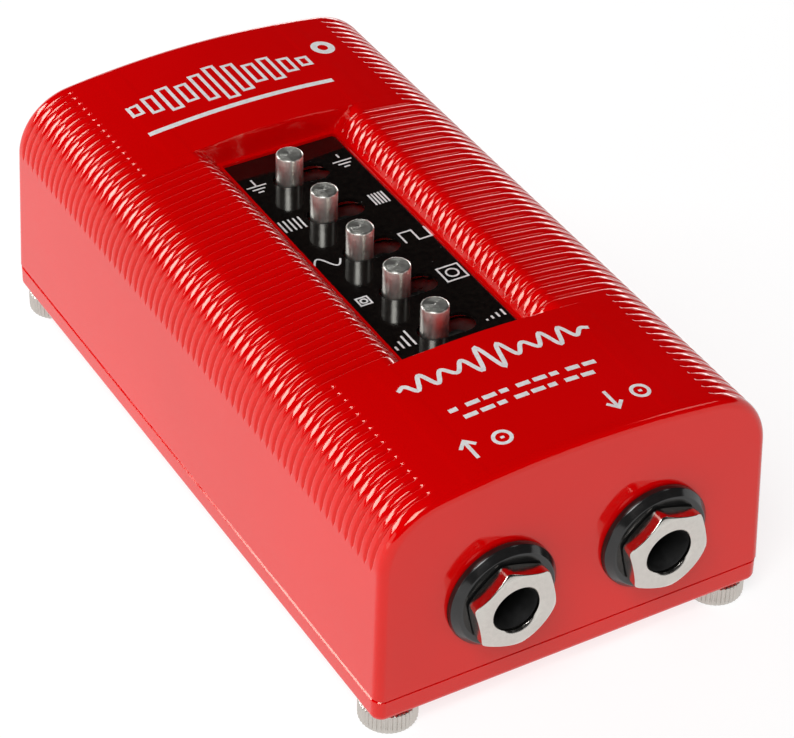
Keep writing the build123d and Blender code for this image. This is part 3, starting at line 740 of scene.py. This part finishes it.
def printed(name, strokes, height):
    """One mesh out of many printed lines, each (points, width, closed)."""
    verts, faces = [], []
    for points, width, closed in strokes:
        v, f = ribbon(points, width, height, closed)
        base = len(verts)
        verts += v
        faces += [tuple(base + i for i in face) for face in f]
    piece = mesh_piece(name, verts, faces)
    work = bmesh.new()
    work.from_mesh(piece.data)
    bmesh.ops.recalc_face_normals(work, faces=work.faces)
    work.to_mesh(piece.data)
    work.free()
    return piece


def arc(cx, cy, radius, start, end, count):
    angles = [radians(start + (end - start) * i / count) for i in range(count + 1)]
    return [(cx + radius * cos(a), cy + radius * sin(a)) for a in angles]


def panel_marks():
    """Plain signs beside each slot: what the switch does at its left and right."""
    strokes = []
    w = 0.27
    sign_size = 1.5
    for index, place in enumerate(switch_places):
        y = place.y
        for side in (-1, 1):
            x = side * 6.75

            def line(*pts, width=w, closed=False):
                strokes.append(([(x + sign_size * a, y + sign_size * b) for a, b in pts], width, closed))

            if index == 0:
                # Earth sign, broken on the right
                line((0, 1.5), (0, 0.35 if side < 0 else 0.9))
                for half, level in ((1.0, 0.35), (0.65, -0.15), (0.3, -0.65)):
                    line((-half, level), (half, level))
            elif index == 1:
                # Wide and close groups of bars
                step = 0.50 if side < 0 else 0.34
                for k in range(-2, 3):
                    line((k * step, -0.9), (k * step, 0.9))
            elif index == 2:
                if side < 0:
                    wave = [(-1.3 + 2.6 * t / 24, 0.8 * sin(2 * pi * t / 24)) for t in range(25)]
                    line(*wave)
                else:
                    line((-1.3, -0.8), (-1.3, 0.8), (0, 0.8), (0, -0.8), (1.3, -0.8), (1.3, 0.8))
            elif index == 3:
                half = 0.55 if side < 0 else 1.05
                line((-half, -half), (half, -half), (half, half), (-half, half), closed=True)
                ring = arc(0, 0, half * 0.55, 0, 330, 14)
                line(*ring, closed=True)
            else:
                tall = 1.1 if side < 0 else 0.45
                for k in range(4):
                    line((-0.9 + 0.6 * k, -1.0), (-0.9 + 0.6 * k, -1.0 + tall * (k + 1) * 0.5), width=0.3)
    return printed("panel_marks", strokes, lambda x, y: overlay_top)


def rear_mark(height):
    """A row of outlined bars of different heights, like a level display, over a base line."""
    heights = (2.2, 3.8, 5.6, 4.2, 6.6, 8.6, 7.0, 4.6, 5.8, 3.4, 2.0)
    strokes = []
    middle = case_y + 40.6
    pitch, half = 2.7, 0.72
    for i, tall in enumerate(heights):
        x = pitch * (i - 5) - 1.6
        outline = [(x - half, middle - tall / 2), (x + half, middle - tall / 2)]
        outline += [(x + half, middle + tall / 2), (x - half, middle + tall / 2)]
        strokes.append((outline, 0.5, True))
    strokes.append(([(-16.0, middle - 6.2), (13.2, middle - 6.2)], 0.9, False))
    strokes.append((arc(16.4, middle + 2.6, 1.3, 0, 345, 24), 1.0, True))
    return printed("rear_mark", strokes, height)


def front_marks(height):
    """A swelling wave, two rows of dashes, and arrows into the left jack and out of the right one."""
    strokes = []
    y = case_y - 32.6
    wave = []
    for step in range(141):
        t = step / 140
        swell = sin(pi * t) ** 0.6 * (1.7 + 0.9 * sin(5.3 * pi * t))
        wave.append((-14.6 + 28.2 * t, y + swell * sin(2 * pi * 9.5 * t)))
    strokes.append((wave, 0.62, False))
    for row, count in ((0, 9), (1, 8)):
        for i in range(count):
            start = -11.2 + 2.45 * i + 1.1 * row
            long = 1.9 if (i + row) % 3 else 1.2
            level = y - 6.7 - 1.9 * row
            strokes.append(([(start, level), (start + long, level)], 0.75, False))
    y = case_y - 46.9
    for x, tip in ((-jack_x() - 1.2, 1), (jack_x() - 3.6, -1)):
        strokes.append(([(x, y - 1.7), (x, y + 1.7)], 0.5, False))
        head = [(x - 1.1, y + tip * 0.7), (x, y + tip * 1.9), (x + 1.1, y + tip * 0.7)]
        strokes.append((head, 0.5, False))
        strokes.append((arc(x + 4.4, y, 1.15, 0, 345, 20), 0.5, True))
        strokes.append(([(x + 4.4, y - 0.2), (x + 4.4, y + 0.2)], 0.5, False))
    return printed("front_marks", strokes, height)


def surface_height(piece):
    """Height of a piece's top at (x, y), in mm, found from straight above."""
    tree = BVHTree.FromObject(piece, bpy.context.evaluated_depsgraph_get())

    def height(x, y):
        hit = tree.ray_cast(Vector((x * MM, y * MM, 1.0)), Vector((0, 0, -1)))
        return hit[0].z / MM

    return height


def jack_x():
    return jack_places()[1][0]


# ---------------------------------------------------------------- materials
class Paint:
    """Short hand for building a node material around one Principled shader."""

    def __init__(self, name, **values):
        self.material = bpy.data.materials.new(name)
        self.material.use_nodes = True
        self.tree = self.material.node_tree
        self.shader = self.tree.nodes["Principled BSDF"]
        for key, value in values.items():
            self.shader.inputs[key.replace("_", " ")].default_value = value
        self.place = self.node("ShaderNodeTexCoord").outputs["Object"]

    def node(self, kind, **settings):
        node = self.tree.nodes.new(kind)
        for key, value in settings.items():
            setattr(node, key, value)
        return node

    def link(self, source, target):
        self.tree.links.new(source, target)

    def noise(self, scale, detail, roughness=0.5, place=None):
        noise = self.node("ShaderNodeTexNoise")
        noise.inputs["Scale"].default_value = scale
        noise.inputs["Detail"].default_value = detail
        noise.inputs["Roughness"].default_value = roughness
        self.link(place or self.place, noise.inputs["Vector"])
        return noise.outputs["Fac"]

    def ramp(self, source, stops):
        ramp = self.node("ShaderNodeValToRGB")
        elements = ramp.color_ramp.elements
        while len(elements) < len(stops):
            elements.new(0.5)
        for element, (position, colour) in zip(elements, stops):
            element.position = position
            element.color = (*colour, 1.0) if len(colour) == 3 else (colour[0],) * 3 + (1.0,)
        self.link(source, ramp.inputs["Fac"])
        return ramp.outputs["Color"]

    def span(self, source, low, high):
        """A number between low and high that follows the source."""
        spread = self.node("ShaderNodeMapRange")
        for key, value in (("From Min", 0.3), ("From Max", 0.7), ("To Min", low), ("To Max", high)):
            spread.inputs[key].default_value = value
        self.link(source, spread.inputs["Value"])
        return spread.outputs["Result"]

    def math(self, operation, a, b=None):
        node = self.node("ShaderNodeMath", operation=operation)
        for socket, value in zip(node.inputs, (a, b)):
            if isinstance(value, (int, float)):
                socket.default_value = value
            elif value is not None:
                self.link(value, socket)
        return node.outputs[0]

    def mix(self, share, colour, fixed):
        """A colour that turns into a fixed one where the share is 1."""
        node = self.node("ShaderNodeMix", data_type="RGBA")
        self.link(share, node.inputs[0])
        self.link(colour, node.inputs[6])
        node.inputs[7].default_value = (*fixed, 1)
        return node.outputs[2]

    def along(self, axis):
        """The place along one axis, 0 for x, 1 for y and 2 for z."""
        split = self.node("ShaderNodeSeparateXYZ")
        self.link(self.place, split.inputs["Vector"])
        return split.outputs[axis]

    def bump(self, height, distance, strength, before=None):
        bump = self.node("ShaderNodeBump")
        bump.inputs["Distance"].default_value = distance
        bump.inputs["Strength"].default_value = strength
        self.link(height, bump.inputs["Height"])
        if before:
            self.link(before, bump.inputs["Normal"])
        return bump.outputs["Normal"]

    def use(self, key, source):
        self.link(source, self.shader.inputs[key])


def speckle(paint, scale, share):
    """Sparse small dots, 1 on a dot and 0 elsewhere."""
    cells = paint.node("ShaderNodeTexVoronoi", feature="F1")
    cells.inputs["Scale"].default_value = scale
    paint.link(paint.place, cells.inputs["Vector"])
    dot = paint.math("LESS_THAN", cells.outputs["Distance"], share)
    pick = paint.node("ShaderNodeSeparateColor")
    paint.link(cells.outputs["Color"], pick.inputs["Color"])
    return paint.math("MULTIPLY", dot, paint.math("GREATER_THAN", pick.outputs[0], 0.86))


def red_coat():
    """Glossy red powder coat with a fine orange peel and a slightly uneven tone."""
    paint = Paint("red_powder_coat", IOR=1.5, Specular_Tint=(1.0, 0.94, 0.80, 1.0))
    broad = paint.noise(28, 3)
    paint.use("Base Color", paint.ramp(broad, [(0.3, (0.61, 0.0, 0.0)), (0.7, (0.67, 0.0, 0.001))]))
    peel = paint.bump(paint.noise(900, 2, 0.45), 0.00003, 0.10)
    wave = paint.bump(paint.noise(260, 1.5), 0.00008, 0.10, before=peel)
    paint.use("Normal", wave)
    fine = paint.noise(420, 3, 0.6)
    paint.use("Roughness", paint.span(fine, 0.06, 0.11))
    return paint.material


def black_gloss():
    """Glossy black panel, with the faint grain and dust of a printed film."""
    paint = Paint("black_gloss_panel", IOR=1.48)
    grain = paint.noise(1400, 3, 0.6)
    dots = speckle(paint, 700, 0.07)
    base = paint.ramp(grain, [(0.3, (0.003, 0.002, 0.002)), (0.7, (0.008, 0.006, 0.005))])
    paint.use("Base Color", paint.mix(dots, base, (0.10, 0.10, 0.10)))
    paint.use("Roughness", paint.span(paint.noise(500, 2), 0.06, 0.12))
    paint.use("Normal", paint.bump(grain, 0.00002, 0.12))
    return paint.material


def black_plastic(name, base, low, high, scale=700):
    """Moulded black plastic with a fine sparkle of texture."""
    paint = Paint(name, IOR=1.5)
    grain = paint.noise(scale, 4, 0.6)
    paint.use("Base Color", paint.ramp(grain, [(0.3, (base,)), (0.7, (base * 1.8,))]))
    paint.use("Roughness", paint.span(grain, low, high))
    paint.use("Normal", paint.bump(grain, 0.00004, 0.15))
    return paint.material


def turned(name, base, low, high, rings, depth, upright=True, anisotropic=0.0):
    """Lathe-turned metal: fine rings around the piece's own axis and along its side."""
    paint = Paint(name, Metallic=1.0, Anisotropic=anisotropic, Anisotropic_Rotation=0.25)
    tangent = paint.node("ShaderNodeTangent", direction_type="RADIAL", axis="Z" if upright else "Y")
    paint.use("Tangent", tangent.outputs[0])
    split = paint.node("ShaderNodeSeparateXYZ")
    paint.link(paint.place, split.inputs["Vector"])
    x, y, z = split.outputs
    across, along = ((x, y), z) if upright else ((x, z), y)
    squares = [paint.math("MULTIPLY", axis, axis) for axis in across]
    squares = paint.math("ADD", *squares)
    radius = paint.math("SQRT", squares)
    steps = paint.node("ShaderNodeCombineXYZ")
    paint.link(radius, steps.inputs[0])
    paint.link(along, steps.inputs[1])
    lines = paint.noise(rings, 3, 0.6, place=steps.outputs[0])
    patches = paint.noise(1500, 2, 0.5)
    paint.use("Base Color", paint.ramp(patches, [(0.25, tuple(c * 0.92 for c in base)), (0.7, base)]))
    paint.use("Roughness", paint.span(patches, low, high))
    paint.use("Normal", paint.bump(lines, 0.00006, depth))
    return paint.material


def cast_metal(name, base, low=0.3, high=0.45):
    """Plain plated or bare metal with light mottling."""
    paint = Paint(name, Metallic=1.0)
    mottle = paint.noise(900, 4, 0.6)
    paint.use("Base Color", paint.ramp(mottle, [(0.25, tuple(c * 0.78 for c in base)), (0.7, base)]))
    paint.use("Roughness", paint.span(mottle, low, high))
    paint.use("Normal", paint.bump(mottle, 0.00003, 0.12))
    return paint.material


def white_ink():
    """Screen-printed ink, slightly uneven."""
    paint = Paint("white_ink", Roughness=0.45)
    grain = paint.noise(1200, 3, 0.6)
    paint.use("Base Color", paint.ramp(grain, [(0.2, (0.62, 0.60, 0.60)), (0.6, (0.80, 0.79, 0.79))]))
    paint.use("Normal", paint.bump(grain, 0.00002, 0.2))
    return paint.material


def green_board():
    """Solder-masked board with faint weave and scattered round tinned pads."""
    paint = Paint("circuit_board", IOR=1.5)
    weave = paint.noise(1600, 2, 0.5)
    dots = speckle(paint, 420, 0.30)
    base = paint.ramp(weave, [(0.3, (0.006, 0.055, 0.018)), (0.7, (0.010, 0.085, 0.028))])
    paint.use("Base Color", paint.mix(dots, base, (0.55, 0.53, 0.48)))
    paint.use("Roughness", paint.span(weave, 0.3, 0.5))
    paint.use("Normal", paint.bump(weave, 0.00005, 0.15))
    return paint.material


def coloured_plastic(name, base):
    """Coloured sleeve or moulding with slight mottling."""
    paint = Paint(name, IOR=1.5)
    grain = paint.noise(800, 3, 0.6)
    paint.use("Base Color", paint.ramp(grain, [(0.25, tuple(c * 0.8 for c in base)), (0.7, base)]))
    paint.use("Roughness", paint.span(grain, 0.3, 0.45))
    paint.use("Normal", paint.bump(grain, 0.00004, 0.12))
    return paint.material


def leads():
    """Two insulated wires: red on one side of the battery clip, black on the other."""
    paint = Paint("lead_insulation", IOR=1.5)
    side = paint.math("GREATER_THAN", paint.along(1), case_y * MM)
    grain = paint.noise(900, 3)
    red = paint.ramp(grain, [(0.3, (0.42, 0.01, 0.008)), (0.7, (0.55, 0.014, 0.01))])
    paint.use("Base Color", paint.mix(side, red, (0.012, 0.012, 0.012)))
    paint.use("Roughness", paint.span(grain, 0.35, 0.5))
    return paint.material


def battery_wrap():
    """Printed battery sleeve: dark body with a copper-coloured band at the terminal end."""
    paint = Paint("battery_sleeve", IOR=1.5)
    low, high = box_mm("battery")
    edge = (low.x + (high.x - low.x) * 0.72) * MM
    band = paint.math("GREATER_THAN", paint.along(0), edge)
    scuffs = paint.noise(600, 5, 0.65)
    dark = paint.ramp(scuffs, [(0.3, (0.014, 0.014, 0.016)), (0.75, (0.04, 0.04, 0.044))])
    paint.use("Base Color", paint.mix(band, dark, (0.42, 0.17, 0.07)))
    paint.use("Roughness", paint.span(scuffs, 0.22, 0.4))
    return paint.material


# ---------------------------------------------------------------- assembly
red = red_coat()
ink = white_ink()
panel_black = black_gloss()
ring_black = black_plastic("glossy_ring", 0.008, 0.12, 0.2, 500)
moulded = black_plastic("moulded_black", 0.014, 0.3, 0.45)
chip_black = black_plastic("chip_plastic", 0.02, 0.4, 0.55)
post_steel = (0.80, 0.79, 0.73)
post_metal = turned("turned_post_steel", post_steel, 0.30, 0.38, rings=5200, depth=0.05, anisotropic=0.45)
nut_metal = turned("nickel_nut", (0.60, 0.57, 0.53), 0.12, 0.22, rings=2200, depth=0.03, upright=False)
knurl_metal = turned("knurled_aluminium", (0.56, 0.53, 0.49), 0.26, 0.4, rings=3200, depth=0.08)
zinc = cast_metal("zinc_plate", (0.62, 0.60, 0.56))
can_metal = cast_metal("switch_can_tin", (0.66, 0.66, 0.64), 0.25, 0.4)
brass = cast_metal("contact_brass", (0.75, 0.60, 0.34), 0.22, 0.36)
board_green = green_board()
sleeve_blue = coloured_plastic("capacitor_sleeve", (0.012, 0.03, 0.10))
box_red = coloured_plastic("capacitor_box", (0.36, 0.05, 0.02))

slot_materials = {
    "housing_paint": red,
    "plate_paint": red,
    "black_panel": panel_black,
    "circuit_board": board_green,
    "zinc_steel": zinc,
    "chip_plastic": chip_black,
    "capacitor_sleeve": sleeve_blue,
    "capacitor_box": box_red,
    "moulded_black": moulded,
    "contact_metal": brass,
    "battery_sleeve": battery_wrap(),
    "lead_insulation": leads(),
    "switch_can": can_metal,
    "post_steel": post_metal,
    "thumbscrew_metal": knurl_metal,
    "ring_plastic": ring_black,
    "nut_chrome": nut_metal,
}


def dress(piece, material, body, slot, *nodes):
    """Give a piece its material and tie it to the frame."""
    piece.data.materials.clear()
    piece.data.materials.append(material)
    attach(piece, body)
    if nodes:
        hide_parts(*nodes)


shell = make_housing()
on_shell = surface_height(shell)
dress(shell, red, "case", "housing_paint", "housing")
dress(make_plate(), red, "bottom_plate", "plate_paint", "bottom_plate")
dress(make_panel(), panel_black, "case", "black_panel", "control_panel_overlay")
for number in switch_numbers:
    post = make_post(number)
    dress(post, post_metal, f"switch_{number}", "post_steel", f"switch_post_{number}")
for jack in jacks:
    dress(make_washer(jack), ring_black, "case", "ring_plastic", f"jack_ring_{jack}")
    dress(make_nut(jack), nut_metal, "case", "nut_chrome", f"jack_nut_{jack}")
for corner in corners:
    screw = make_thumbscrew(corner)
    dress(screw, knurl_metal, f"thumbscrew_{corner}", "thumbscrew_metal", f"thumbscrew_{corner}")
dress(panel_marks(), ink, "case", "black_panel")
dress(rear_mark(on_shell), ink, "case", "housing_paint")
dress(front_marks(on_shell), ink, "case", "housing_paint")

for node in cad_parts.values():
    for holder in node.material_slots:
        base = holder.material.name.split(".")[0] if holder.material else "none"
        if base in slot_materials:
            holder.material = slot_materials[base]

# ---------------------------------------------------------------- floor, light and camera
floor_reach = 1.5
sweep_radius = 1450
sweep_height = 380
floor_mesh = bpy.data.meshes.new("studio_floor")
floor_corners = [(-floor_reach, -floor_reach, 0), (floor_reach, -floor_reach, 0)]
floor_corners += [(floor_reach, floor_reach, 0), (-floor_reach, floor_reach, 0)]
floor_mesh.from_pydata(floor_corners, [], [(0, 1, 2, 3)])
floor = bpy.data.objects.new("studio_floor", floor_mesh)
bpy.context.scene.collection.objects.link(floor)
floor_paint = Paint("floor_white", Roughness=0.9)
floor_paint.use("Base Color", floor_paint.ramp(floor_paint.noise(3, 2), [(0.3, (0.24,)), (0.7, (0.26,))]))
floor_paint.shader.inputs["Emission Color"].default_value = (1, 1, 1, 1)
floor_paint.shader.inputs["Emission Strength"].default_value = 0.8
floor_mesh.materials.append(floor_paint.material)

sweep = prism("studio_sweep", circle(0, 0, sweep_radius, 96), "xy", 0, sweep_height)
work = bmesh.new()
work.from_mesh(sweep.data)
bmesh.ops.delete(work, geom=[face for face in work.faces if abs(face.normal.z) > 0.5], context="FACES")
work.to_mesh(sweep.data)
work.free()
sweep.data.materials.append(floor_paint.material)


def softbox(name, direction, distance, width, height, radiance):
    """Area light that faces the middle of the object, set by how bright its surface looks."""
    data = bpy.data.lights.new(name, "AREA")
    data.shape = "RECTANGLE"
    data.size = width
    data.size_y = height
    data.energy = pi * width * height * radiance
    middle = Vector((0, 0, 0.02))
    light = bpy.data.objects.new(name, data)
    light.location = middle + Vector(direction).normalized() * distance
    light.rotation_euler = (middle - light.location).to_track_quat("-Z", "Y").to_euler()
    bpy.context.scene.collection.objects.link(light)


softbox("key_upper_left", (-0.42, -0.42, 0.80), 1.4, 0.6, 0.6, 11.6)
softbox("fill_left", (-0.95, 0.0, 0.3), 1.2, 0.7, 0.5, 1.2)
softbox("strip_rear_left", (-0.60, 0.68, 0.43), 1.2, 0.70, 0.26, 12.0)
softbox("low_rear_right", (0.68, 0.70, 0.09), 1.2, 0.9, 0.15, 6.0)
softbox("front_right_high", (0.62, -0.33, 0.71), 1.3, 0.20, 0.20, 3.0)

world = bpy.data.worlds.new("studio")
bpy.context.scene.world = world
world.use_nodes = True
world.node_tree.nodes["Background"].inputs["Color"].default_value = (0.01, 0.01, 0.01, 1)

camera_data = bpy.data.cameras.new("camera")
camera_data.lens = 140.976
camera_data.sensor_width = 36.0
camera_data.clip_start = 0.01
camera = bpy.data.objects.new("camera", camera_data)
camera_place = Vector((-170.775, -292.501, 275.539)) * MM
camera_aim = Vector((-1.583, -8.431, 20.0)) * MM
camera_roll = Matrix.Rotation(radians(1.435), 4, "Z")
facing = (camera_aim - camera_place).to_track_quat("-Z", "Y").to_matrix().to_4x4()
camera.matrix_world = Matrix.Translation(camera_place) @ facing @ camera_roll
bpy.context.scene.collection.objects.link(camera)
bpy.context.scene.camera = camera
bpy.context.scene.view_settings.view_transform = "Standard"
bpy.context.scene.view_settings.look = "None"
